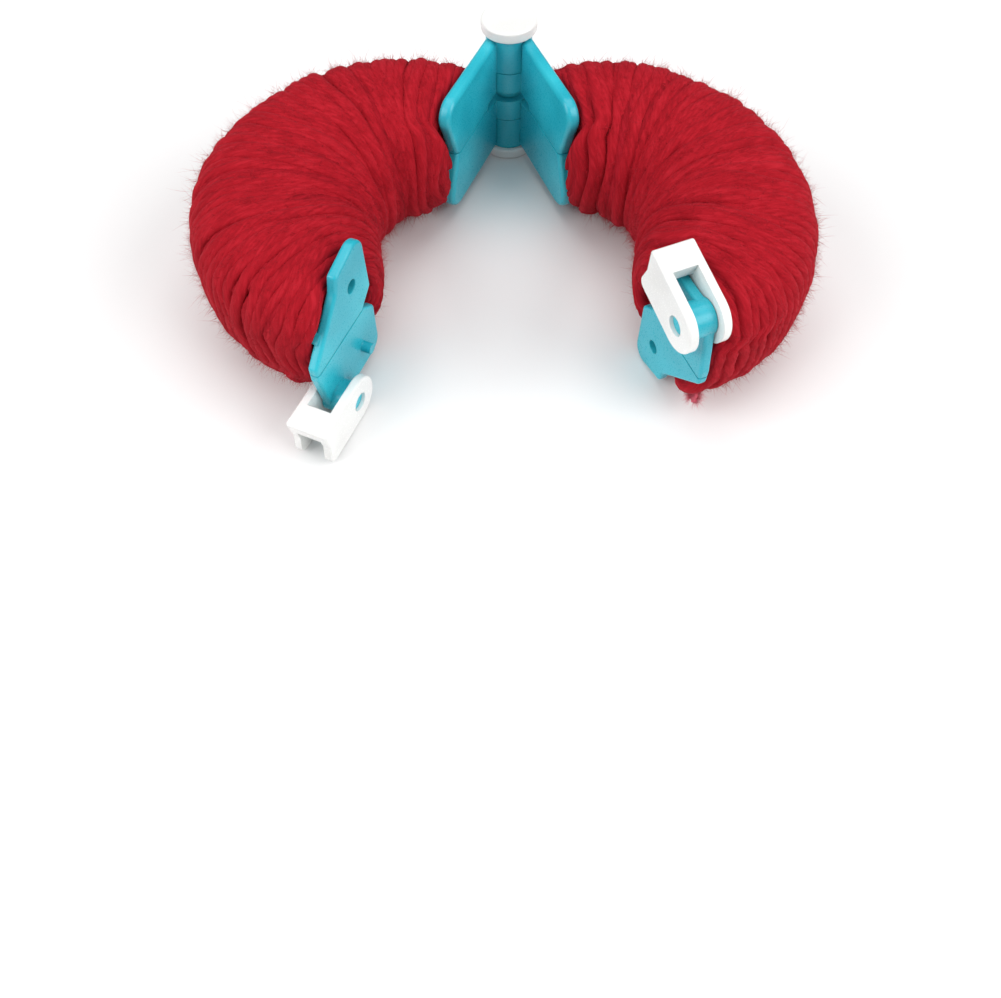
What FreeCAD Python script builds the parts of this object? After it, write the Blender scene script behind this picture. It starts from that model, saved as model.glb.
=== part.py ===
import FreeCAD, Part
import math
import os

# Pom pom maker, opened and wound. Two equal rings lie one on the other. Each ring is
# two half-ring arms that swing on one hinge pin and are held shut by a latch clip.
# The lower ring is the upper one turned half way round the line from hinge to latch.
#
# Every piece is made with the tool closed, about the hinge axis: x to the right, y to
# the back, z up, and z = 0 between the two rings. Plates are drawn by v, the distance
# in front of the hinge axis (v = -y), and z. The arms are then swung open and the
# whole tool is set down with the bottom centre of its box at the origin.

# Driving dimensions, in millimetres and degrees.

ring_centre_v = 47.4        # hinge axis to ring axis
rim_radius = 36.5           # outer rim that the scissors follow
open_angle = 22.4           # each arm's swing from the closed tool
ring_gap = 0.15             # half the slit between the two rings
plate_gap = 0.1             # half the slit between the free-end plates when closed
plate_thickness = 2.0
hinge_plate_thickness = 2.8
free_plate_edge_round = 0.6
hinge_plate_edge_round = 1.0
plate_slit_side = 1.3       # z up to which the plates' edges stay square
latch_peak = 17.4           # the plain arm's plate catches the latched clip's bridge
clip_arm_peak = 14.2

hinge_plate_offset = 0.8    # hinge-end plate face to the closing plane
hinge_plate_top = 14.0
hinge_plate_reach = 30.6    # v of the plate's upper corner
hinge_plate_notch = 25.6    # v where the plate meets the slit between the rings

knuckle_radius = 5.0
knuckle_clearance = 0.3
knuckle_foot = 1.15         # z where the barrel and the plates beside it start
knuckle_foot_reach = 9.4    # v where the plates drop from the foot to the slit
knuckle_split = 6.2         # z between the short knuckle and the tall one
knuckle_top = 14.2
knuckle_play = 0.08         # half the axial gap at the split

pin_radius = 2.0
pin_clearance = 0.06
pin_head_radius = 3.4
pin_head_thickness = 0.9
pin_in_cap = 1.6
spigot_radius = 1.1
spigot_length = 2.4
socket_clearance = 0.05

cap_radius = 6.0
cap_thickness = 2.5
cap_play = 0.1
cap_edge_round = 0.5

channel_inner_radius = 23.0
channel_crown_radius = 28.5
channel_crown_height = 7.6
groove_root_radius = 31.5
rim_height = 5.0
channel_pocket_inner = 26.6
channel_pocket_outer = 29.6
channel_pocket_height = 5.4
rib_width = 1.2
rib_angles = (120.0, 150.0, 180.0, 210.0, 240.0)
pocket_wall = 1.6

peg_v = 72.3
peg_z = 8.7
peg_radius = 1.1
peg_length = 1.9
peg_hole_radius = 1.4

clip_pivot_v = 82.3
clip_pivot_z = 11.7
barrel_radius = 3.3
barrel_reach = 2.3          # barrel face beyond the closing plane, on the mating side
stub_radius = 1.8
stub_length = 1.1
stub_clearance = 0.06
ear_play = 0.15
ear_thickness = 1.65
ear_end_radius = 5.0
clip_length = 12.4          # pivot to the outside of the bridge
clip_bridge_depth = 5.2
clip_bridge_underside = 1.9 # above the pivot line
clip_edge_round = 0.4
clip_locked_angle = 14.0    # ears above the level line when latched
clip_open_angle = 182.0     # ears of the lower clip as it lies
ear_room = 0.35             # beside the ears, in the channels and the yarn
ear_room_foot = 6.3         # z where that room starts
ear_recess_inner = 6.0      # ring axis to the room's inner end

# Outer radius of the wound yarn every 22 degrees, from the hinge end to the free end.
left_winding_radii = (38.4, 40.2, 41.1, 41.5, 42.3, 42.7, 42.0, 40.2, 38.0)
right_winding_radii = (38.0, 39.5, 39.4, 39.0, 39.2, 40.0, 41.0, 40.4, 38.2)
winding_inner_end = 11.0
winding_inner_middle = 7.0
winding_height_end = 13.0
winding_height_middle = 15.9
winding_end_gap = 0.3       # yarn behind the back of each plate
winding_core_gap = 0.3


def on_plate(v, z):
    return FreeCAD.Vector(0, -v, z)


def on_section(r, z):
    return FreeCAD.Vector(r, -ring_centre_v, z)


def outline_face(corners, place):
    # A flat face with straight sides; each corner is (first, second, rounding radius).
    sides = []
    for index, (first, second, radius) in enumerate(corners):
        here = place(first, second)
        before = place(*corners[index - 1][:2])
        after = place(*corners[(index + 1) % len(corners)][:2])
        if radius == 0:
            sides.append((here, None, here))
            continue
        to_before = (before - here).normalize()
        to_after = (after - here).normalize()
        half_turn = to_before.getAngle(to_after) / 2
        inward = (to_before + to_after).normalize()
        reach = radius / math.tan(half_turn)
        apex = here + inward * (radius / math.sin(half_turn) - radius)
        sides.append((here + to_before * reach, apex, here + to_after * reach))
    edges = []
    for index, (start, apex, end) in enumerate(sides):
        if apex is not None:
            edges.append(Part.Arc(start, apex, end).toShape())
        next_start = sides[(index + 1) % len(sides)][0]
        if end.distanceToPoint(next_start) > 1e-6:
            edges.append(Part.LineSegment(end, next_start).toShape())
    return Part.Face(Part.Wire(edges))


def plate(corners, x_from, x_to, edge_round):
    # A flat plate between two x planes, rounded along both faces but square beside the slit.
    solid = outline_face(corners, on_plate)
    solid.translate(FreeCAD.Vector(min(x_from, x_to), 0, 0))
    solid = solid.extrude(FreeCAD.Vector(abs(x_to - x_from), 0, 0))
    around = []
    for edge in solid.Edges:
        if edge.BoundBox.XLength < 1e-6 and edge.CenterOfMass.z > plate_slit_side:
            around.append(edge)
    return solid.makeFillet(edge_round, around)


def rod_x(radius, x_from, x_to, v, z):
    start = FreeCAD.Vector(min(x_from, x_to), -v, z)
    return Part.makeCylinder(radius, abs(x_to - x_from), start, FreeCAD.Vector(1, 0, 0))


def rod_z(radius, z_from, z_to):
    return Part.makeCylinder(radius, z_to - z_from, FreeCAD.Vector(0, 0, z_from))


def side_space(side, x_at_hinge, x_at_free, low, high):
    # The room on one side of the closing plane, with its own start at each end of the ring.
    reach = 60.0
    behind = Part.makeBox(reach, ring_centre_v + 10, high - low,
                          FreeCAD.Vector(x_at_hinge, -ring_centre_v, low))
    ahead = Part.makeBox(reach, reach, high - low,
                         FreeCAD.Vector(x_at_free, -ring_centre_v - reach, low))
    space = behind.fuse(ahead)
    if side < 0:
        space = space.mirror(FreeCAD.Vector(0, 0, 0), FreeCAD.Vector(1, 0, 0))
    return space


def turned_ring(face):
    return face.revolve(on_section(0, 0), FreeCAD.Vector(0, 0, 1), 360)


def ear_recess(low):
    # The room beside the free-end plates that the ears of a latched clip sweep.
    half_width = barrel_reach + ear_play + ear_thickness + ear_room
    corner = FreeCAD.Vector(-half_width, -ring_centre_v - 60, low)
    return Part.makeBox(2 * half_width, 60 - ear_recess_inner, 20, corner)


def channel(side):
    # Half-ring channel: arched back, sharp rim, and the wall of the scissor groove.
    inner = on_section(channel_inner_radius, 4.0)
    crown = on_section(channel_crown_radius, channel_crown_height)
    shoulder = on_section(rim_radius - 0.8, rim_height + 0.9)
    rim = on_section(rim_radius, rim_height)
    root = on_section(groove_root_radius, ring_gap)
    foot = on_section(channel_inner_radius + 2.0, ring_gap)
    edges = [Part.Arc(inner, crown, shoulder).toShape()]
    corners = [shoulder, rim, root, foot, inner]
    for start, end in zip(corners, corners[1:]):
        edges.append(Part.LineSegment(start, end).toShape())
    solid = turned_ring(Part.Face(Part.Wire(edges)))
    x_at_hinge = hinge_plate_offset + hinge_plate_thickness / 2
    x_at_free = plate_gap + plate_thickness / 2
    solid = solid.common(side_space(side, x_at_hinge, x_at_free, -1, 20))
    return solid.cut(ear_recess(ear_room_foot))


def channel_pockets(side):
    # Moulding pockets on the side that faces the other ring, with ribs left between them.
    below = -1.0
    corners = [(channel_pocket_inner, below, 0), (channel_pocket_outer, below, 0),
               (channel_pocket_outer, channel_pocket_height, 0.8),
               (channel_pocket_inner, channel_pocket_height, 0.8)]
    solid = turned_ring(outline_face(corners, on_section))
    x_at_hinge = hinge_plate_offset + hinge_plate_thickness + pocket_wall
    x_at_free = plate_gap + plate_thickness + pocket_wall
    solid = solid.common(side_space(side, x_at_hinge, x_at_free, below, 20))
    for angle in rib_angles:
        rib = Part.makeBox(rim_radius, rib_width, 20, FreeCAD.Vector(0, -rib_width / 2, below))
        turn = angle if side < 0 else angle - 180
        rib.rotate(FreeCAD.Vector(0, 0, 0), FreeCAD.Vector(0, 0, 1), turn)
        rib.translate(on_section(0, 0))
        solid = solid.cut(rib)
    return solid


def hinge_plate(side):
    corners = [(0, knuckle_foot, 0), (knuckle_foot_reach, knuckle_foot, 0.4),
               (knuckle_foot_reach + 0.6, ring_gap, 0.4), (hinge_plate_notch, ring_gap, 0),
               (hinge_plate_reach, hinge_plate_top, 4.0), (0, hinge_plate_top, 0)]
    near = side * hinge_plate_offset
    return plate(corners, near, near + side * hinge_plate_thickness, hinge_plate_edge_round)


def knuckle(z_from, z_to):
    return rod_z(knuckle_radius, z_from, z_to)


def free_plate(side, peak, outer_corners):
    # The plate at the ring's free end; peak is the height of its corner towards the hinge.
    corners = [(69.8, ring_gap, 0), (66.4, 3.0, 0.8), (66.6, peak, 3.0)]
    near = side * plate_gap
    return plate(corners + outer_corners, near, near + side * plate_thickness,
                 free_plate_edge_round)


def plain_arm():
    # Left arm of the upper ring: tall knuckle under the cap, and the hole for the peg.
    side = -1
    outer = [(76.2, 14.8, 0.9), (77.0, 11.6, 2.5), (87.0, 1.6, 1.0), (87.0, ring_gap, 0)]
    z_from = knuckle_split + knuckle_play
    arm = hinge_plate(side)
    arm = arm.cut(rod_z(knuckle_radius + knuckle_clearance, -1, z_from))
    arm = arm.fuse([knuckle(z_from, knuckle_top), free_plate(side, latch_peak, outer),
                    channel(side)])
    arm = arm.cut(channel_pockets(side))
    arm = arm.cut(rod_z(pin_radius + pin_clearance, -1, 30))
    arm = arm.cut(rod_x(peg_hole_radius, -10, 1, peg_v, peg_z))
    return arm.removeSplitter()


def clip_arm():
    # Right arm of the upper ring: short knuckle, the peg, and the barrel of the latch clip.
    side = 1
    outer = [(79.0, 14.5, 0), (82.3, 14.8, 0), (85.2, 13.0, 1.0), (87.0, 1.6, 1.0),
             (87.0, ring_gap, 0)]
    z_to = knuckle_split - knuckle_play
    back = plate_gap + plate_thickness
    arm = hinge_plate(side)
    arm = arm.cut(rod_z(knuckle_radius + knuckle_clearance, z_to, 30))
    barrel = rod_x(barrel_radius, -barrel_reach, back, clip_pivot_v, clip_pivot_z)
    stubs = rod_x(stub_radius, -barrel_reach - stub_length, back + stub_length,
                  clip_pivot_v, clip_pivot_z)
    peg = rod_x(peg_radius, plate_gap - peg_length, back / 2, peg_v, peg_z)
    arm = arm.fuse([knuckle(knuckle_foot, z_to), free_plate(side, clip_arm_peak, outer),
                    channel(side), barrel, stubs, peg])
    arm = arm.cut(channel_pockets(side))
    arm = arm.cut(rod_z(pin_radius + pin_clearance, -1, 30))
    return arm.removeSplitter()


def latch_clip():
    # U-shaped clip, drawn with its ears pointing to the hinge; the pivot is the barrel axis.
    end = clip_length
    size = ear_end_radius
    profile = [(end, size, 0.6), (-size, size, size - 0.1), (-size, -size, size - 0.1),
               (end - 0.5, -size, 1.6), (end - 1.1, -0.2, 0.8)]
    back = plate_gap + plate_thickness + ear_play
    front = -barrel_reach - ear_play

    corners = [(clip_pivot_v - u, clip_pivot_z + w, radius) for u, w, radius in profile]
    clip = outline_face(corners, on_plate)
    clip.translate(FreeCAD.Vector(front - ear_thickness, 0, 0))
    width = back - front + 2 * ear_thickness
    clip = clip.extrude(FreeCAD.Vector(width, 0, 0))
    window_end = clip_length - clip_bridge_depth
    room_under_bridge = (clip_length + 1, -10, clip_bridge_underside)
    for reach, low, high in ((window_end, -10, 10), room_under_bridge):
        corner = FreeCAD.Vector(front, -clip_pivot_v - 10, clip_pivot_z + low)
        clip = clip.cut(Part.makeBox(back - front, 10 + reach, high - low, corner))
    outer_edges = []
    for edge in clip.Edges:
        box = edge.BoundBox
        at_side = min(abs(box.XMin - front + ear_thickness), abs(box.XMin - back - ear_thickness))
        if box.XLength < 1e-6 and at_side < 1e-6:
            outer_edges.append(edge)
    clip = clip.makeFillet(clip_edge_round, outer_edges)
    hole = rod_x(stub_radius + stub_clearance, front - 5, back + 5, clip_pivot_v, clip_pivot_z)
    return clip.cut(hole)


def hinge_pin(has_spigot):
    # Pin with its head in the slit between the rings; the two pins plug together.
    pin = rod_z(pin_radius, ring_gap, knuckle_top + cap_play + pin_in_cap)
    pin = pin.fuse(rod_z(pin_head_radius, ring_gap, ring_gap + pin_head_thickness))
    if has_spigot:
        return pin.fuse(rod_z(spigot_radius, -spigot_length, ring_gap)).removeSplitter()
    return pin.cut(rod_z(spigot_radius + socket_clearance, -1, spigot_length + 0.3))


def hinge_cap():
    low = knuckle_top + cap_play
    cap = rod_z(cap_radius, low, low + cap_thickness)
    cap = cap.makeFillet(cap_edge_round, [e for e in cap.Edges if e.Length > cap_radius * 4])
    return cap.cut(rod_z(pin_radius, low - 1, low + pin_in_cap))


def winding_section(turn, outer):
    # Closed curve round the channels at one angle of the ring, on the left side.
    fullness = math.sin(math.radians(turn)) ** 0.8
    inner = winding_inner_end - (winding_inner_end - winding_inner_middle) * fullness
    height = winding_height_end + (winding_height_middle - winding_height_end) * fullness
    middle = (inner + outer) / 2 + 1.0
    points = []
    steps = 16
    for step in range(steps):
        angle = 2 * math.pi * step / steps
        reach = outer - middle if math.cos(angle) > 0 else middle - inner
        radius = middle + reach * math.copysign(abs(math.cos(angle)) ** 0.85, math.cos(angle))
        z = height * math.copysign(abs(math.sin(angle)) ** 0.85, math.sin(angle))
        points.append(FreeCAD.Vector(radius, 0, z))
    curve = Part.BSplineCurve()
    curve.interpolate(points, PeriodicFlag=True)
    section = Part.Wire(curve.toShape())
    section.rotate(FreeCAD.Vector(0, 0, 0), FreeCAD.Vector(0, 0, 1), 90 + turn)
    section.translate(on_section(0, 0))
    return section


def winding(side):
    # Yarn wound round both channels of one side, hollow where the channels run through it.
    radii = left_winding_radii if side < 0 else right_winding_radii
    sections = [winding_section(2 + 22 * index, outer) for index, outer in enumerate(radii)]
    body = Part.makeLoft(sections, True, False)
    if side > 0:
        body = body.mirror(FreeCAD.Vector(0, 0, 0), FreeCAD.Vector(1, 0, 0))
    x_at_hinge = hinge_plate_offset + hinge_plate_thickness + winding_end_gap
    x_at_free = plate_gap + plate_thickness + winding_end_gap
    body = body.common(side_space(side, x_at_hinge, x_at_free, -30, 30))
    body = body.cut([ear_recess(ear_room_foot), ear_recess(-ear_room_foot - 20)])
    gap = winding_core_gap
    high = channel_crown_height + gap
    corners = [(channel_inner_radius - gap, -high, 2.5), (rim_radius + gap, -high, 2.5),
               (rim_radius + gap, high, 2.5), (channel_inner_radius - gap, high, 2.5)]
    return body.cut(turned_ring(outline_face(corners, on_section)))


def turned_over(shape):
    copy = shape.copy()
    copy.rotate(FreeCAD.Vector(0, 0, 0), FreeCAD.Vector(0, 1, 0), 180)
    return copy


def swung(shape, angle):
    copy = shape.copy()
    copy.rotate(FreeCAD.Vector(0, 0, 0), FreeCAD.Vector(0, 0, 1), angle)
    return copy


def tilted_clip(angle):
    clip = latch_clip()
    clip.rotate(on_plate(clip_pivot_v, clip_pivot_z), FreeCAD.Vector(1, 0, 0), angle)
    return clip


def make_nodes():
    left = -open_angle
    right = open_angle
    return {
        "upper_left_arm": swung(plain_arm(), left),
        "upper_right_arm": swung(clip_arm(), right),
        "lower_left_arm": swung(turned_over(clip_arm()), left),
        "lower_right_arm": swung(turned_over(plain_arm()), right),
        "upper_latch_clip": swung(tilted_clip(clip_locked_angle), right),
        "lower_latch_clip": swung(turned_over(tilted_clip(clip_open_angle)), left),
        "upper_hinge_pin": hinge_pin(True),
        "lower_hinge_pin": turned_over(hinge_pin(False)),
        "upper_hinge_cap": hinge_cap(),
        "lower_hinge_cap": turned_over(hinge_cap()),
        "left_yarn_winding": swung(winding(-1), left),
        "right_yarn_winding": swung(winding(1), right),
    }


def write_parts(nodes):
    os.makedirs("parts", exist_ok=True)
    box = Part.makeCompound(list(nodes.values())).optimalBoundingBox()
    shift = FreeCAD.Vector(-box.Center.x, -box.Center.y, -box.ZMin)
    print("hinge axis at", shift.x, shift.y, "slit at", shift.z)
    print("size", box.XLength, box.YLength, box.ZLength)
    for name, shape in nodes.items():
        shape.translate(shift)
        print(name, len(shape.Solids), shape.isValid(), round(shape.Volume, 1))
        shape.exportStep("parts/" + name + ".step")


write_parts(make_nodes())
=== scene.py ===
import math
import bpy
import numpy as np
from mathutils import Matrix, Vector, noise


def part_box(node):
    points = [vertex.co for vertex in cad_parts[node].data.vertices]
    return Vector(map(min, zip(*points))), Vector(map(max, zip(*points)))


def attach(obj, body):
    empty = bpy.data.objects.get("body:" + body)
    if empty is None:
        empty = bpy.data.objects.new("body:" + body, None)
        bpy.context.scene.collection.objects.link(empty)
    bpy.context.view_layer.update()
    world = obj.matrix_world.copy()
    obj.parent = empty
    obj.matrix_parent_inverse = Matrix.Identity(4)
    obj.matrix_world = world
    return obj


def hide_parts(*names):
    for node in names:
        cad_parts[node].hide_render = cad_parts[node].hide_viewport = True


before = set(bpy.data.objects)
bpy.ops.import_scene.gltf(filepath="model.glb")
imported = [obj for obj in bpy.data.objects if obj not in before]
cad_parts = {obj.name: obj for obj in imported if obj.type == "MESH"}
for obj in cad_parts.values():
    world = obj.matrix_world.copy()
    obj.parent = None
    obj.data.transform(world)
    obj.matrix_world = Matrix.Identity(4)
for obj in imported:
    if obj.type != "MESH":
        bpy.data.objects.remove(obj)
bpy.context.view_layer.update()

# A hinged pom pom maker, opened, with red yarn wound on both halves. The plastic pieces keep their CAD
# shapes, and the two windings are made here strand by strand.
# Everything is measured from the hinge pin's axis and the slit between the two rings.
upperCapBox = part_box("upper_hinge_cap")
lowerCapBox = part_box("lower_hinge_cap")
hingeX = (upperCapBox[0][0] + upperCapBox[1][0]) / 2
hingeY = (upperCapBox[0][1] + upperCapBox[1][1]) / 2
slitZ = (lowerCapBox[0][2] + upperCapBox[1][2]) / 2
mm = 0.001


def fromHinge(x, y, z):  # millimetres from the hinge axis at the slit, to metres in the frame
    return Vector((hingeX + x * mm, hingeY + y * mm, slitZ + z * mm))


cameraSet = {
    "place": (-0.89, -173.5, 134.55),  # mm from the hinge
    "pitch": 55.31,                    # degrees below the horizon
    "yaw": -0.304,                     # degrees
    "focalPixels": 935.1,
    "imageWidth": 1001,
    "shiftY": -0.12,
    "sensorWidth": 36.0,               # mm
    "nearest": 0.01,                   # metres
    "furthest": 20.0,
}


def makeCamera():
    data = bpy.data.cameras.new("camera")
    data.sensor_width = cameraSet["sensorWidth"]
    data.lens = cameraSet["focalPixels"] / cameraSet["imageWidth"] * data.sensor_width
    data.shift_y = cameraSet["shiftY"]
    data.clip_start = cameraSet["nearest"]
    data.clip_end = cameraSet["furthest"]
    camera = bpy.data.objects.new("camera", data)
    camera.location = fromHinge(*cameraSet["place"])
    camera.rotation_euler = (math.radians(90 - cameraSet["pitch"]), 0,
                             -math.radians(cameraSet["yaw"]))
    bpy.context.scene.collection.objects.link(camera)
    bpy.context.scene.camera = camera


makeCamera()
print("camera placed")


def toLinear(hexColour, alpha=1.0):  # the standard sRGB curve
    values = []
    for start in (0, 2, 4):
        v = int(hexColour[start:start + 2], 16) / 255
        values.append(v / 12.92 if v <= 0.04045 else ((v + 0.055) / 1.055) ** 2.4)
    return (*values, alpha)


def addNode(tree, kind, settings=None, links=None):
    # settings: sockets by name or number, the node's own options, or a ramp's colour stops;
    # links: a socket to the output that feeds it
    node = tree.nodes.new(kind)
    for name, value in (settings or {}).items():
        if name == "stops":
            elements = node.color_ramp.elements
            while len(elements) < len(value):
                elements.new(0.5)
            for element, (position, colour) in zip(elements, value):
                element.position = position
                element.color = toLinear(colour)
        elif isinstance(name, int) or name in node.inputs:
            node.inputs[name].default_value = value
        else:
            setattr(node, name, value)
    for name, output in (links or {}).items():
        tree.links.new(output, node.inputs[name])
    return node


def newMaterial(name):
    material = bpy.data.materials.new(name)
    material.use_nodes = True
    material.node_tree.nodes.clear()
    return material, material.node_tree


def mouldedAbs(name, look):
    # ABS, injection moulded from a polished tool: an even gloss over very shallow flow waves, edges
    # that are rounded rather than sharp, and a fine grain that softens the highlights.
    material, tree = newMaterial(name)
    place = addNode(tree, "ShaderNodeTexCoord")
    flow = addNode(tree, "ShaderNodeTexNoise",
                   {"Scale": 1 / (look["flowWave"] * mm), "Detail": 2.0, "Roughness": 0.45},
                   {"Vector": place.outputs["Object"]})
    tint = addNode(tree, "ShaderNodeValToRGB",
                   {"stops": [(0.30, look["deep"]), (0.55, look["colour"]), (0.75, look["pale"])]},
                   {"Fac": flow.outputs["Fac"]})
    grain = addNode(tree, "ShaderNodeTexNoise",
                    {"Scale": 1 / (look["grain"] * mm), "Detail": 3.0, "Roughness": 0.6},
                    {"Vector": place.outputs["Object"]})
    gloss = addNode(tree, "ShaderNodeMapRange",
                    {"From Min": 0.3, "From Max": 0.7,
                     "To Min": look["roughness"] - look["smoother"],
                     "To Max": look["roughness"] + look["rougher"]},
                    {"Value": grain.outputs["Fac"]})
    edges = addNode(tree, "ShaderNodeBevel", {"samples": 6, "Radius": look["edgeRound"] * mm})
    waves = addNode(tree, "ShaderNodeBump", {"Strength": 0.25, "Distance": look["waveHeight"] * mm},
                    {"Height": flow.outputs["Fac"], "Normal": edges.outputs["Normal"]})
    pores = addNode(tree, "ShaderNodeBump", {"Strength": 0.02, "Distance": look["grainHeight"] * mm},
                    {"Height": grain.outputs["Fac"], "Normal": waves.outputs["Normal"]})
    shader = addNode(tree, "ShaderNodeBsdfPrincipled",
                     {"IOR": 1.54, "Specular IOR Level": look["shine"],
                      "Subsurface Weight": look["depth"], "Subsurface Radius": look["depthRadius"],
                      "Subsurface Scale": look["depthScale"] * mm},
                     {"Base Color": tint.outputs["Color"], "Roughness": gloss.outputs["Result"],
                      "Normal": pores.outputs["Normal"]})
    addNode(tree, "ShaderNodeOutputMaterial", {}, {"Surface": shader.outputs["BSDF"]})
    return material


tealLook = {
    "colour": "2DB4C6",
    "deep": "22A5B8",
    "pale": "3AC1D1",
    "roughness": 0.28,
    "smoother": 0.015,       # how far the grain lowers the roughness
    "rougher": 0.02,         # and raises it
    "shine": 0.4,
    "edgeRound": 0.3,        # mm
    "flowWave": 12.0,        # mm from one wave to the next
    "waveHeight": 0.12,      # mm
    "grain": 0.25,           # mm; a real moulded grain is finer and wouldn't show
    "grainHeight": 0.005,    # mm
    "depth": 0.08,           # share of the light that goes in under the surface
    "depthScale": 1.2,       # mm that it goes in
    "depthRadius": (0.3, 0.9, 1.0),
}
whiteLook = {**tealLook, "colour": "EFEFED", "deep": "E8E8E6", "pale": "F5F5F4", "roughness": 0.26,
             "shine": 0.5, "flowWave": 10.0, "depth": 0.15, "depthRadius": (1.0, 0.95, 0.9)}
tealAbs = mouldedAbs("moulded teal ABS", tealLook)
whiteAbs = mouldedAbs("moulded white ABS", whiteLook)

for nodeName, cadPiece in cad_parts.items():
    if nodeName.endswith("winding"):  # the strands below stand for these
        continue
    isWhite = nodeName.endswith("clip") or nodeName.endswith("cap")
    cadPiece.data.materials.clear()
    cadPiece.data.materials.append(whiteAbs if isWhite else tealAbs)
print("plastic pieces dressed")

# The yarn's surface, the same in all its pieces. Real fibres are about 0.02 mm thick, far too fine to
# show, so they are drawn as streaks, with finer ones between them.
fibreSet = {
    "lengthwise": 0.33,      # streaks to a mm of strand: each is about 3 mm long
    "round": 14.0,           # streaks in one turn round the strand: each is about 0.55 mm wide
    "relief": 0.12,          # mm
    "groove": 0.02,          # two plies' crowns added to the streaks' height; painted groove shade
    "streakShadeRound": 0.3,         # how often the painted streak shade changes in one turn round the strand
    "streakShade": 0.35,             # what the streaks' painted highlight and shade add to the tone
    "cloud": 0.30,           # and what the broad mottle adds
}


def acrylicYarn(name, look):
    # Acrylic knitting yarn, spun and plied: matt, with a soft sheen at grazing angles and fine fibres
    # that run along each ply. Pressed as it is here, it shows only a trace of the plies' grooves, as
    # relief and as painted shade in the colour. Its lighter and darker stretches along each strand are
    # painted highlight and shade.
    material, tree = newMaterial(name)
    place = addNode(tree, "ShaderNodeTexCoord")
    split = addNode(tree, "ShaderNodeSeparateXYZ", {}, {"Vector": place.outputs["UV"]})
    # two crowns in one turn round the strand, one for each ply; they raise the height and paint
    # shade into the colour between the crowns
    plies = addNode(tree, "ShaderNodeMath", {"operation": "MULTIPLY", 1: 2 * math.pi * 2},
                    {0: split.outputs["Y"]})
    crown = addNode(tree, "ShaderNodeMath", {"operation": "COSINE"}, {0: plies.outputs["Value"]})
    stretch = addNode(tree, "ShaderNodeMapping",
                      {"Scale": (fibreSet["lengthwise"], fibreSet["round"], 1.0)},
                      {"Vector": place.outputs["UV"]})
    fibres = addNode(tree, "ShaderNodeTexNoise", {"Scale": 1.0, "Detail": 3.0, "Roughness": 0.6},
                     {"Vector": stretch.outputs["Vector"]})
    cloud = addNode(tree, "ShaderNodeTexNoise",
                    {"Scale": 1 / (look["cloud"] * mm), "Detail": 2.0, "Roughness": 0.5},
                    {"Vector": place.outputs["Object"]})
    # Painted highlight and shade: the tone gets lighter and darker at random along the yarn.
    lengthwise = addNode(tree, "ShaderNodeMapping",
                         {"Scale": (1 / look["streak"], fibreSet["streakShadeRound"], 1.0)},
                         {"Vector": place.outputs["UV"]})
    streaks = addNode(tree, "ShaderNodeTexNoise", {"Scale": 1.0, "Detail": 1.0, "Roughness": 0.5},
                      {"Vector": lengthwise.outputs["Vector"]})
    # the height also feeds the tint: painted shade in the plies' grooves
    height = addNode(tree, "ShaderNodeMath", {"operation": "MULTIPLY_ADD", 1: fibreSet["groove"]},
                     {0: crown.outputs["Value"], 2: fibres.outputs["Fac"]})
    streakAndGrooveShade = addNode(tree, "ShaderNodeMath", {"operation": "MULTIPLY_ADD", 1: fibreSet["streakShade"]},
                   {0: streaks.outputs["Fac"], 2: height.outputs["Value"]})
    tone = addNode(tree, "ShaderNodeMath", {"operation": "MULTIPLY_ADD", 1: fibreSet["cloud"]},
                   {0: cloud.outputs["Fac"], 2: streakAndGrooveShade.outputs["Value"]})
    tint = addNode(tree, "ShaderNodeValToRGB",
                   {"stops": [(0.55, look["deep"]), (0.82, look["colour"]), (1.0, look["pale"])]},
                   {"Fac": tone.outputs["Value"]})
    relief = addNode(tree, "ShaderNodeBump", {"Strength": 0.22, "Distance": fibreSet["relief"] * mm},
                     {"Height": height.outputs["Value"]})
    shader = addNode(tree, "ShaderNodeBsdfPrincipled",
                     {"Roughness": 0.85, "IOR": 1.5, "Specular IOR Level": 0.1,
                      "Sheen Weight": look["sheen"], "Sheen Roughness": 0.45,
                      "Sheen Tint": toLinear(look["sheenTint"])},
                     {"Base Color": tint.outputs["Color"], "Normal": relief.outputs["Normal"]})
    addNode(tree, "ShaderNodeOutputMaterial", {}, {"Surface": shader.outputs["BSDF"]})
    return material


# "cloud" is the width of the mottle's patches and "streak" the length of the painted highlight and
# shade streaks along the yarn, in mm
yarnLook = {"colour": "A21421", "deep": "8C0F1B", "pale": "B01D2A", "sheen": 0.10,
            "sheenTint": "E87080", "cloud": 6.0, "streak": 15.0}
# The lower layer is darker than the top strands: painted shade for the gaps between them.
underLook = {"colour": "96121F", "deep": "740B15", "pale": "A61927", "sheen": 0.0,
             "sheenTint": "C04048", "cloud": 5.0, "streak": 15.0}
fuzzLook = {"colour": "AA1A28", "deep": "8E111D", "pale": "BC2835", "sheen": 0.12,
            "sheenTint": "F08890", "cloud": 3.0, "streak": 4.0}
frayedLook = {"colour": "D05A6A", "deep": "BC4050", "pale": "E48090", "sheen": 0.4,
              "sheenTint": "F8C0C8", "cloud": 3.0, "streak": 4.0}
crimsonYarn = acrylicYarn("plied crimson acrylic yarn", yarnLook)
shadedYarn = acrylicYarn("crimson yarn darkened as painted shade", underLook)
looseFibre = acrylicYarn("loose acrylic fibre", fuzzLook)
frayedYarn = acrylicYarn("frayed end of acrylic yarn", frayedLook)

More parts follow.
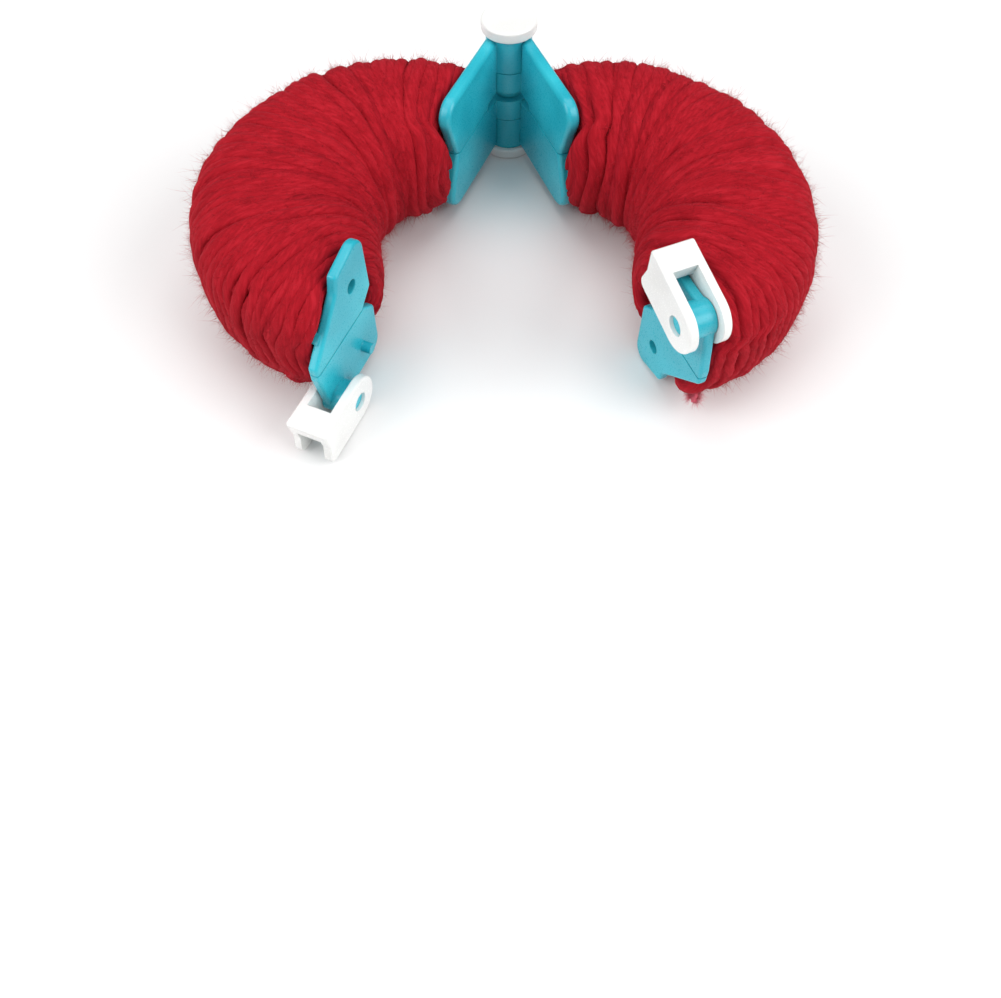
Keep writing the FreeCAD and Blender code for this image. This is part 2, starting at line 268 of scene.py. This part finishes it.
# The windings' outer form, in mm and degrees. Radii are from the ring's axis; the "back" values are
# from the closing plane of an arm to a strand's centre line.
windingSet = {
    "ringCentre": 47.4,      # from the hinge
    "openAngle": 22.4,       # degrees that each arm is open
    "leftRadii": (38.4, 40.2, 41.1, 41.5, 42.3, 42.7, 42.0, 40.2, 38.0),
    "rightRadii": (38.0, 39.5, 39.4, 39.0, 39.2, 40.0, 41.0, 40.4, 38.2),
    "radiiFrom": 2,          # degrees from the hinge end to the first of those outer radii
    "radiiEvery": 22,
    "radiiDegree": 5,        # of the smooth curve through them
    "innerEnd": 11.0,
    "innerMiddle": 7.0,
    "heightEnd": 13.0,
    "heightMiddle": 15.9,
    "swell": 0.8,            # power of the sine that leads from the end values to the middle ones
    "middleOut": 1.0,        # the tube's middle lies this far outside the mean of its two radii
    "squareness": 2.7,       # of the tube's section outside; 2 would be an ellipse
    "innerSquareness": 2.15,
    "endFace": 2.5,          # yarn that shows on the end itself
    "endRound": 2.4,
    "turnedIn": 0.85,        # share of that rounding which the outside of an end goes without,
    "turnedFrom": 0.2,       # from here on, as a cosine round the tube,
    "turnedOver": 0.6,       # in full once the cosine is this much more
    "hingeBack": 5.2,        # behind the hinge plate
    "hingeBulge": 3.4,       # and how much nearer where the plate doesn't cover the yarn
    "freeBack": 3.75,        # behind the free-end plate
    "freeBulge": 1.9,
    "earBack": 6.4,          # beside the latch clip's ear
    "bulgeFrom": 0.04,       # shares of the winding's length in which those bulges fade out
    "bulgeWidth": 0.16,
    "passes": 4,             # radius and turn depend on each other, so they are found step by step
}
# What the end plates cover of the yarn, in mm from the ring's axis or from the slit.
plateSet = {
    "hingeEdge": 21.8,       # the hinge plate's inner edge at the slit,
    "hingeFlare": 5.0,       # and how much nearer the axis it is at the plate's top
    "hingeTop": 14.0,
    "hingeFade": 4.0,        # past the outline, over which the yarn comes nearer
    "freeEdge": 19.0,        # the free-end plate's inner edge
    "freeCorner": 41.2,      # radius plus height along its slanting outer edge
    "slant": 1.4,            # that sum's growth for each mm straight away from the edge
    "freeFade": 3.0,
    "earHeight": 3.5,        # where the latch clip's ear begins
    "earEdge": 18.5,
    "earFade": 2.5,
}
strandSet = {
    "turns": 60,             # which lay the strands 2.0 to 2.1 mm apart along the ring's outside
    "samples": 124,          # along one turn
    "radius": 1.42,
    "flat": 0.74,            # height of a strand over its width, pressed down as it is
    "plyDepth": 0.03,
    "around": 10,
    "lay": 24.0,             # mm for one full twist of the two plies
    "sink": 0.62,            # centre line below the wound surface
    "drift": 3.6,            # degrees that neighbours lean together
    "driftAlong": 0.05,      # how fast that changes in a degree of the ring
    "driftRound": 1.0,       # and round the tube
    "clump": 1.5,            # degrees that they bunch up and part
    "clumpAlong": 0.26,
    "clumpRound": 1.7,
    "clumpLeast": 0.5,       # share of it at the hinge end; gaps open more towards the free end
    "clumpGrows": 150,       # degrees of the ring over which that share grows by 1
    "stray": 1.0,            # degrees that one strand strays alone
    "strayKnots": 1.7,       # how often in a turn that changes
    "lift": 0.30,            # mm that one strand rides over or under its neighbours
    "liftKnots": 2.6,
    "pile": 2.4,             # mm that strands bury each other at the ring's middle
    "pileKnots": 1,
    "pileFocus": 1.6,        # how closely that keeps to the ring's middle
    "spareKnots": 6,         # a few beyond a course's end
    "calmEnd": 14,           # the leaning fades in over one part in 14 of the winding
    "within": (0.002, 0.998),
    "tubeMiddle": 25.0,      # mm from the axis: loose fibres point away from there,
    "middleHeight": 0.2,     # at this share of the strand's own height
}
underSet = {"turns": 54, "samples": 80, "radius": 1.45, "around": 8, "deeper": 0.5}
coreSet = {
    "rows": 60,
    "columns": 48,
    "sink": 2.1,             # mm below the wound surface
    "strandMm": 2.0,         # mm of strand that pass in a column, and
    "strandTurn": 0.4,       # turns of one that pass in a row, for the yarn's streaks
}
seedSet = {"left": 3, "right": 11, "under": 20, "fuzz": 40, "tail": 77}  # under and fuzz add to a side's


def smooth(value):
    value = np.clip(value, 0, 1)
    return value * value * (3 - 2 * value)


def sectionPoint(radii, turn, angle, sink):
    # radius and height of the wound surface at a turn of the ring and an angle round the tube
    form = windingSet
    fullness = np.sin(np.radians(np.clip(turn, 1, 179))) ** form["swell"]
    inner = form["innerEnd"] + (form["innerMiddle"] - form["innerEnd"]) * fullness + sink
    knownTurns = form["radiiEvery"] * np.arange(len(radii)) + form["radiiFrom"]
    curve = np.polyfit(knownTurns, radii, form["radiiDegree"])
    outer = np.polyval(curve, np.clip(turn, form["radiiFrom"], 180 - form["radiiFrom"])) - sink
    high = form["heightEnd"] + (form["heightMiddle"] - form["heightEnd"]) * fullness - sink
    middle = (inner + outer) / 2 + form["middleOut"]
    across = np.cos(angle)
    up = np.sin(angle)
    reach = np.where(across > 0, outer - middle, middle - inner)
    power = np.where(across > 0, form["squareness"], form["innerSquareness"])
    unit = (np.abs(across) ** power + np.abs(up) ** power) ** (-1 / power)
    return middle + reach * across * unit, high * up * unit


def endBacks(side, radius, z):
    # How near the closing plane the end strands lie at the hinge end and at the free end: behind the
    # plates, nearer past their outlines, and clear of the ear of this side's latch clip. The other
    # side's clip isn't allowed for: latched over the shut tool, it still cuts into these strands.
    form = windingSet
    plate = plateSet
    high = np.abs(z)
    flare = plate["hingeFlare"] * np.minimum(high, plate["hingeTop"]) / plate["hingeTop"]
    pastHinge = np.maximum(plate["hingeEdge"] - flare - radius, high - plate["hingeTop"])
    hinge = form["hingeBack"] - form["hingeBulge"] * smooth(pastHinge / plate["hingeFade"])
    pastCorner = (radius + high - plate["freeCorner"]) / plate["slant"]
    pastFree = np.maximum(plate["freeEdge"] - radius, pastCorner)
    free = form["freeBack"] - form["freeBulge"] * smooth(pastFree / plate["freeFade"])
    clipHalf = z * side  # the clip is above on the right and below on the left
    aboveEar = smooth((clipHalf - plate["earHeight"]) / plate["earFade"])
    byEar = aboveEar * smooth((radius - plate["earEdge"]) / plate["earFade"])
    free = free + (form["earBack"] - free) * byEar
    return hinge, free


def nearness(share):  # 1 at an end of the winding, and 0 once well away from it
    return 1 - smooth((share - windingSet["bulgeFrom"]) / windingSet["bulgeWidth"])


def backAngle(back, radius):  # of a strand that lies so far back from the closing plane
    return np.arcsin(np.minimum(back / radius, 0.95))


def windingPlace(side, share, angle, sink):
    # share runs from the hinge plate over the rounded end, along the ring and down the other end
    form = windingSet
    radii = form["leftRadii"] if side < 0 else form["rightRadii"]
    endLength = form["endFace"] + form["endRound"] * math.pi / 2
    outside = smooth((np.cos(angle) - form["turnedFrom"]) / form["turnedOver"])
    turnedIn = 1 - form["turnedIn"] * outside
    turn = 180 * share
    shrink = np.zeros_like(share)
    for _ in range(form["passes"]):
        radius, z = sectionPoint(radii, turn, angle, sink + shrink)
        hinge, free = endBacks(side, radius, z)
        low = backAngle(form["hingeBack"], radius)
        high = math.pi - backAngle(form["freeBack"], radius)
        corner = form["endRound"] / radius
        middle = np.maximum(high - low - 2 * corner, 0.05)
        length = 2 * endLength + radius * middle
        along = share * length
        nearEnd = np.minimum(along, length - along)
        bend = np.clip((nearEnd - form["endFace"]) / form["endRound"], 0, math.pi / 2)
        gap = form["endRound"] * (1 - np.cos(bend)) / radius
        shrink = form["endRound"] * (1 - np.sin(bend)) + np.maximum(form["endFace"] - nearEnd, 0)
        shrink = shrink * turnedIn
        past = np.clip((along - endLength) / (length - 2 * endLength), 0, 1)
        between = low + corner + middle * past
        between = np.where(length - along < endLength, high - gap, between)
        turn = np.where(along < endLength, low + gap, between)
        turn -= (low - backAngle(hinge, radius)) * nearness(share)
        turn += (math.pi - backAngle(free, radius) - high) * nearness(1 - share)
        turn = np.degrees(turn)
    return radius, turn, z


def onRing(side, radius, turn, z):
    # to metres in the frame; the arms lie open, so the ring is swung about the hinge
    angle = np.radians(90 + turn)
    x = -side * radius * np.cos(angle)
    y = -windingSet["ringCentre"] + radius * np.sin(angle)
    swing = math.radians(windingSet["openAngle"] * side)
    turnedX = x * math.cos(swing) - y * math.sin(swing)
    turnedY = x * math.sin(swing) + y * math.cos(swing)
    return np.stack([hingeX + turnedX * mm, hingeY + turnedY * mm, slitZ + z * mm], -1)


def wandering(rng, count, knots):
    # a smooth random course from -1 to 1 over the whole yarn, with so many knots to a turn
    values = rng.uniform(-1, 1, int(count[-1] * knots) + strandSet["spareKnots"])
    place = count * knots
    index = place.astype(int)
    share = smooth(place - index)
    return values[index] * (1 - share) + values[index + 1] * share


def yarnPath(side, turns, samples, sink, seed, reverse=False):
    # One unbroken path that goes round the channels, turn after turn. Gives the centre line, a
    # direction along the ring and a direction away from the tube's middle.
    strand = strandSet
    rng = np.random.default_rng(seed)
    count = np.arange(turns * samples + 1) / samples
    angle = math.pi + 2 * math.pi * count
    inward = 0.5 - 0.5 * np.cos(angle)  # 1 at the ring's middle, 0 outside
    piling = wandering(rng, count, strand["pileKnots"]) * 0.5 + 0.5
    buried = piling * strand["pile"] * inward ** strand["pileFocus"]
    lift = wandering(rng, count, strand["liftKnots"]) * strand["lift"]
    stray = wandering(rng, count, strand["strayKnots"]) * strand["stray"]
    share = (count + 0.5) / (turns + 1)
    if reverse:
        share = 1 - share
    lean = []
    for t, c, d in zip(180 * share, np.cos(angle), np.sin(angle)):
        broad = noise.noise(Vector((t * strand["driftAlong"], c * strand["driftRound"],
                                    d * strand["driftRound"] + seed)))
        fine = noise.noise(Vector((t * strand["clumpAlong"], c * strand["clumpRound"],
                                   d * strand["clumpRound"] - seed)))
        gather = strand["clumpLeast"] + t / strand["clumpGrows"]
        lean.append(broad * strand["drift"] + fine * strand["clump"] * gather)
    fade = smooth(np.minimum(share, 1 - share) * strand["calmEnd"])
    share = np.clip(share + (np.array(lean) + stray) * fade / 180, *strand["within"])
    radius, turn, z = windingPlace(side, share, angle, sink + buried - lift)
    centre = onRing(side, radius, turn, z)
    sideways = onRing(side, radius, turn + 1, z) - centre
    away = centre - onRing(side, strand["tubeMiddle"], turn, z * strand["middleHeight"])
    away /= np.linalg.norm(away, axis=1)[:, None]
    return centre, sideways, away


def meshPiece(name, made, material, body):
    vertices, faces, uv = made
    mesh = bpy.data.meshes.new(name)
    mesh.from_pydata(vertices, [], faces)
    mesh.polygons.foreach_set("use_smooth", [True] * len(faces))
    layer = mesh.uv_layers.new(name="strand")
    layer.data.foreach_set("uv", np.asarray(uv, np.float32).ravel())
    mesh.materials.append(material)
    mesh.update()
    piece = bpy.data.objects.new(name, mesh)
    bpy.context.scene.collection.objects.link(piece)
    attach(piece, body)
    return piece


def ringFaces(count, around):
    # four-sided faces between so many rings of corners, and a flat face at each end
    step = np.arange(count - 1)[:, None] * around
    here = np.arange(around)[None, :]
    there = (here + 1) % around
    sides = np.stack([step + here, step + there, step + around + there, step + around + here], 2)
    ends = [list(range(around))[::-1], list(range((count - 1) * around, count * around))]
    return sides.reshape(-1, 4).tolist() + ends


def ringCorners(count, around):
    # the ring's and the column's number for each corner of those faces
    ring = np.arange(count - 1)
    column = np.arange(around)
    rings = np.stack([ring, ring, ring + 1, ring + 1], 1)[:, None, :]
    columns = np.stack([column, column + 1, column + 1, column], 1)[None, :, :]
    return np.broadcast_arrays(rings, columns)


def ringUvs(along, turned, around):  # mm along a strand and turns round it; 0 on the end faces
    uv = np.stack([along, turned], 3).reshape(-1, 2)
    return np.concatenate([uv, np.zeros((2 * around, 2))])


def strandTube(path, radius, around, plyDepth, lay, flat=1.0):
    # Sweeps a slightly oval outline along the path, turning it once every lay, which gives the two
    # plies, and presses it flat.
    centre, sideways, away = path
    tangent = np.gradient(centre, axis=0)
    tangent /= np.linalg.norm(tangent, axis=1)[:, None]
    sideways = sideways - (sideways * tangent).sum(1)[:, None] * tangent
    sideways /= np.linalg.norm(sideways, axis=1)[:, None]
    outward = np.cross(sideways, tangent)
    steps = np.linalg.norm(np.diff(centre, axis=0), axis=1)
    length = np.concatenate([[0], np.cumsum(steps)]) / mm
    angles = np.arange(around) * 2 * math.pi / around
    profile = np.reshape(radius, (-1, 1)) * mm * (1 + plyDepth * np.cos(2 * angles))
    twist = length[:, None] / lay * 2 * math.pi + angles[None, :]
    rings = (centre[:, None, :]
             + sideways[:, None, :] * (profile * np.cos(twist))[:, :, None]
             + outward[:, None, :] * (profile * np.sin(twist) * flat)[:, :, None])
    ring, column = ringCorners(len(centre), around)
    uv = ringUvs(length[ring], column / around, around)
    return rings.reshape(-1, 3), ringFaces(len(centre), around), uv


def yarnCore(side):
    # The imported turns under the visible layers, as one smooth body that shows only in the gaps.
    rows = coreSet["rows"]
    columns = coreSet["columns"]
    share, angle = np.meshgrid(np.linspace(0, 1, rows + 1),
                               2 * math.pi * np.arange(columns) / columns, indexing="ij")
    radius, turn, z = windingPlace(side, share.ravel(), angle.ravel(), coreSet["sink"])
    ring, column = ringCorners(rows + 1, columns)
    uv = ringUvs(column * coreSet["strandMm"], ring * coreSet["strandTurn"], columns)
    return onRing(side, radius, turn, z), ringFaces(rows + 1, columns), uv


fuzzSet = {
    "shortHairs": 26000,
    "short": (0.5, 1.9),     # mm
    "longHairs": 3200,
    "long": (1.6, 3.4),      # mm
    "longBends": (0.5,),     # the long ones bend at half their length
    "thick": (0.018, 0.034),  # radius in mm at the foot, two to three times a real fibre's, to show
    "thinning": 0.5,         # share of that lost towards the point
    "leanAlong": 1.3,        # how far they lean along the strand
    "leanAcross": 1.0,
    "footSpread": 0.6,       # how far to the strand's sides they start
    "footDepth": 0.72,       # how far out in the strand, as a share of its radius
    "curl": 0.6,
    "lowest": 0.1,           # mm above the surface that the tool lies on
    "toneSpan": 40,           # mm of yarn that they take their tones from
}


def hairs(path, count, lengths, bends, rng):
    # Loose fibres that stand off the yarn: thin three-sided hairs that end in a point, straight where
    # bends is empty and otherwise with one more ring of corners at each share of the length.
    look = fuzzSet
    centre, sideways, away = path
    at = rng.integers(1, len(centre) - 2, count)
    along = centre[at + 1] - centre[at]
    along /= np.linalg.norm(along, axis=1)[:, None]
    across = np.cross(along, away[at])
    length = rng.uniform(*lengths, count)[:, None] * mm
    leanAlong = along * rng.uniform(-look["leanAlong"], look["leanAlong"], (count, 1))
    lean = leanAlong + across * rng.uniform(-look["leanAcross"], look["leanAcross"], (count, 1))
    heading = away[at] + lean
    heading /= np.linalg.norm(heading, axis=1)[:, None]
    spread = across * rng.uniform(-look["footSpread"], look["footSpread"], (count, 1))
    foot = away[at] * strandSet["flat"] + spread
    start = centre[at] + foot * look["footDepth"] * strandSet["radius"] * mm
    curl = rng.uniform(-1, 1, (count, 3)) * look["curl"]
    right = np.cross(heading, rng.uniform(-1, 1, (count, 3)))
    right /= np.linalg.norm(right, axis=1)[:, None]
    up = np.cross(heading, right)
    thick = rng.uniform(*look["thick"], count)[:, None] * mm
    rows = []
    for t in (0, *bends):
        for corner in range(3):
            a = 2 * math.pi * corner / 3
            spoke = (right * math.cos(a) + up * math.sin(a)) * thick * (1 - look["thinning"] * t)
            rows.append(start + (heading * t + curl * t * t) * length + spoke)
    rows.append(start + (heading + curl) * length)
    vertices = np.stack(rows, 1).reshape(-1, 3)
    first = np.arange(count) * len(rows)
    faces = np.stack([first + 2, first + 1, first], 1).tolist()
    top = 3 * len(bends)
    tip = first + len(rows) - 1
    for corner in range(3):
        after = (corner + 1) % 3
        faces += np.stack([first + top + corner, first + top + after, tip], 1).tolist()
        for low in range(0, top, 3):
            faces += np.stack([first + low + corner, first + low + after,
                               first + low + 3 + after, first + low + 3 + corner], 1).tolist()
    return vertices, faces


def fuzz(path, shortCount, longCount, seed):
    rng = np.random.default_rng(seed)
    short, shortFaces = hairs(path, shortCount, fuzzSet["short"], (), rng)
    long, longFaces = hairs(path, longCount, fuzzSet["long"], fuzzSet["longBends"], rng)
    vertices = np.concatenate([short, long])
    vertices[:, 2] = np.maximum(vertices[:, 2], fuzzSet["lowest"] * mm)
    faces = shortFaces + [[corner + len(short) for corner in face] for face in longFaces]
    corners = sum(len(face) for face in faces)
    uv = np.zeros((corners, 2))
    uv[:, 0] = rng.uniform(0, fuzzSet["toneSpan"], corners // 4 + 1).repeat(4)[:corners]
    return vertices, faces, uv


def makeWinding(side, word):
    body = "upper_" + word
    seed = seedSet[word]
    strand = strandSet
    under = underSet
    top = yarnPath(side, strand["turns"], strand["samples"], strand["sink"], seed)
    tube = strandTube(top, strand["radius"], strand["around"], strand["plyDepth"], strand["lay"],
                      strand["flat"])
    outer = meshPiece(word + "YarnTurns", tube, crimsonYarn, body)
    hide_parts(word + "_yarn_winding")
    # the layer below runs back the other way
    below = yarnPath(side, under["turns"], under["samples"], strand["sink"] + under["deeper"],
                     seed + seedSet["under"], True)
    lower = strandTube(below, under["radius"], under["around"], 0.0, strand["lay"], strand["flat"])
    # the lower layer and the core take the darker yarn: painted shade in the gaps between strands
    meshPiece(word + "YarnUnderTurns", lower, shadedYarn, body)
    meshPiece(word + "YarnCore", yarnCore(side), shadedYarn, body)
    loose = fuzz(top, fuzzSet["shortHairs"], fuzzSet["longHairs"], seed + seedSet["fuzz"])
    meshPiece(word + "YarnFuzz", loose, looseFibre, body)


makeWinding(-1, "left")
print("left winding made")
makeWinding(1, "right")
print("right winding made")


tailSet = {
    # mm back from the closing plane, out from the ring's axis, and up from the slit
    "route": ((4.8, 32.6, -8.6), (4.0, 34.9, -11.0), (3.6, 35.9, -12.0), (3.3, 36.8, -12.9)),
    "steps": 24,
    "radius": 0.95,
    "taper": 0.35,           # of the radius, lost towards the frayed end
    "around": 10,
    "plyDepth": 0.1,
    "hairs": 1500,
    "hairTurns": 7,          # times that the loose fibres go round it
}


def makeTail():
    # The yarn's cut end, which sticks out below the right winding's free end.
    tail = tailSet
    share = np.linspace(0, 1, tail["steps"])[:, None]
    low, first, second, high = np.array(tail["route"])
    arc = (low * (1 - share) ** 3 + first * 3 * share * (1 - share) ** 2
           + second * 3 * share ** 2 * (1 - share) + high * share ** 3)
    back, out, z = arc.T
    radius = np.hypot(back, out)
    turn = 180 - np.degrees(np.arctan2(back, out))
    centre = onRing(1, radius, turn, z)
    sideways = onRing(1, radius, turn + 1, z) - centre
    spin = np.linspace(0, 2 * math.pi * tail["hairTurns"], tail["steps"])
    away = np.stack([np.cos(spin), np.sin(spin), 0 * spin], 1)
    path = (centre, sideways, away)
    girth = tail["radius"] * (1 - tail["taper"] * share[:, 0] ** 2)
    strand = strandTube(path, girth, tail["around"], tail["plyDepth"], strandSet["lay"])
    meshPiece("rightYarnTail", strand, frayedYarn, "upper_right")
    meshPiece("rightTailFuzz", fuzz(path, tail["hairs"], 0, seedSet["tail"]), frayedYarn, "upper_right")


makeTail()
print("loose end made")


floorSet = {
    "halfWidth": 0.8,        # metres
    "mottle": 12.0,          # patches to a metre, so some 80 mm wide
}


def makeFloor():
    # Pale paper sweep: matt, with the slightest mottle.
    material, tree = newMaterial("matt white paper")
    place = addNode(tree, "ShaderNodeTexCoord")
    mottle = addNode(tree, "ShaderNodeTexNoise", {"Scale": floorSet["mottle"], "Detail": 3.0},
                     {"Vector": place.outputs["Object"]})
    tint = addNode(tree, "ShaderNodeValToRGB", {"stops": [(0.3, "EEEEEE"), (0.7, "F0F0F0")]},
                   {"Fac": mottle.outputs["Fac"]})
    shader = addNode(tree, "ShaderNodeBsdfPrincipled", {"Roughness": 0.9, "Specular IOR Level": 0.1},
                     {"Base Color": tint.outputs["Color"]})
    addNode(tree, "ShaderNodeOutputMaterial", {}, {"Surface": shader.outputs["BSDF"]})
    size = floorSet["halfWidth"]
    mesh = bpy.data.meshes.new("floor")
    corners = [(-size, -size, 0), (size, -size, 0), (size, size, 0), (-size, size, 0)]
    mesh.from_pydata(corners, [], [(0, 1, 2, 3)])
    mesh.materials.append(material)
    floor = bpy.data.objects.new("floor", mesh)
    bpy.context.scene.collection.objects.link(floor)


lightSet = {  # metres and watts; each is a soft box that faces the tool
    "leftBox": {"place": (-0.69, -0.26, 0.52), "size": 0.7, "watts": 5.7},
    "rightBox": {"place": (0.69, -0.26, 0.52), "size": 0.7, "watts": 6.4},
    "overhead": {"place": (0.0, 0.14, 0.80), "size": 0.8, "watts": 4.2},
    "frontFill": {"place": (0.05, -0.70, 0.50), "size": 0.6, "watts": 0.4},
}
studioSet = {
    "aim": (0, 0, 0.01),     # what the boxes face
    "wallLight": 0.09,       # what the walls give the tool
    "wallBrightness": 0.93,  # how bright they look themselves
}


def makeLights():
    for name, look in lightSet.items():
        data = bpy.data.lights.new(name, "AREA")
        data.shape = "SQUARE"
        data.size = look["size"]
        data.energy = look["watts"]
        lamp = bpy.data.objects.new(name, data)
        lamp.location = look["place"]
        aim = Vector(studioSet["aim"]) - Vector(look["place"])
        lamp.rotation_euler = aim.to_track_quat("-Z", "Y").to_euler()
        bpy.context.scene.collection.objects.link(lamp)
    # The studio's walls: bright behind the floor's edge, though they add only a little light.
    world = bpy.data.worlds.new("white studio")
    world.use_nodes = True
    tree = world.node_tree
    tree.nodes.clear()
    path = addNode(tree, "ShaderNodeLightPath")
    strength = addNode(tree, "ShaderNodeMapRange",
                       {"To Min": studioSet["wallLight"], "To Max": studioSet["wallBrightness"]},
                       {"Value": path.outputs["Is Camera Ray"]})
    walls = addNode(tree, "ShaderNodeBackground", {"Color": toLinear("FFFFFF")},
                    {"Strength": strength.outputs["Result"]})
    addNode(tree, "ShaderNodeOutputWorld", {}, {"Surface": walls.outputs["Background"]})
    bpy.context.scene.world = world


makeFloor()
makeLights()
bpy.context.scene.view_settings.view_transform = "Standard"
print("floor and lights made")
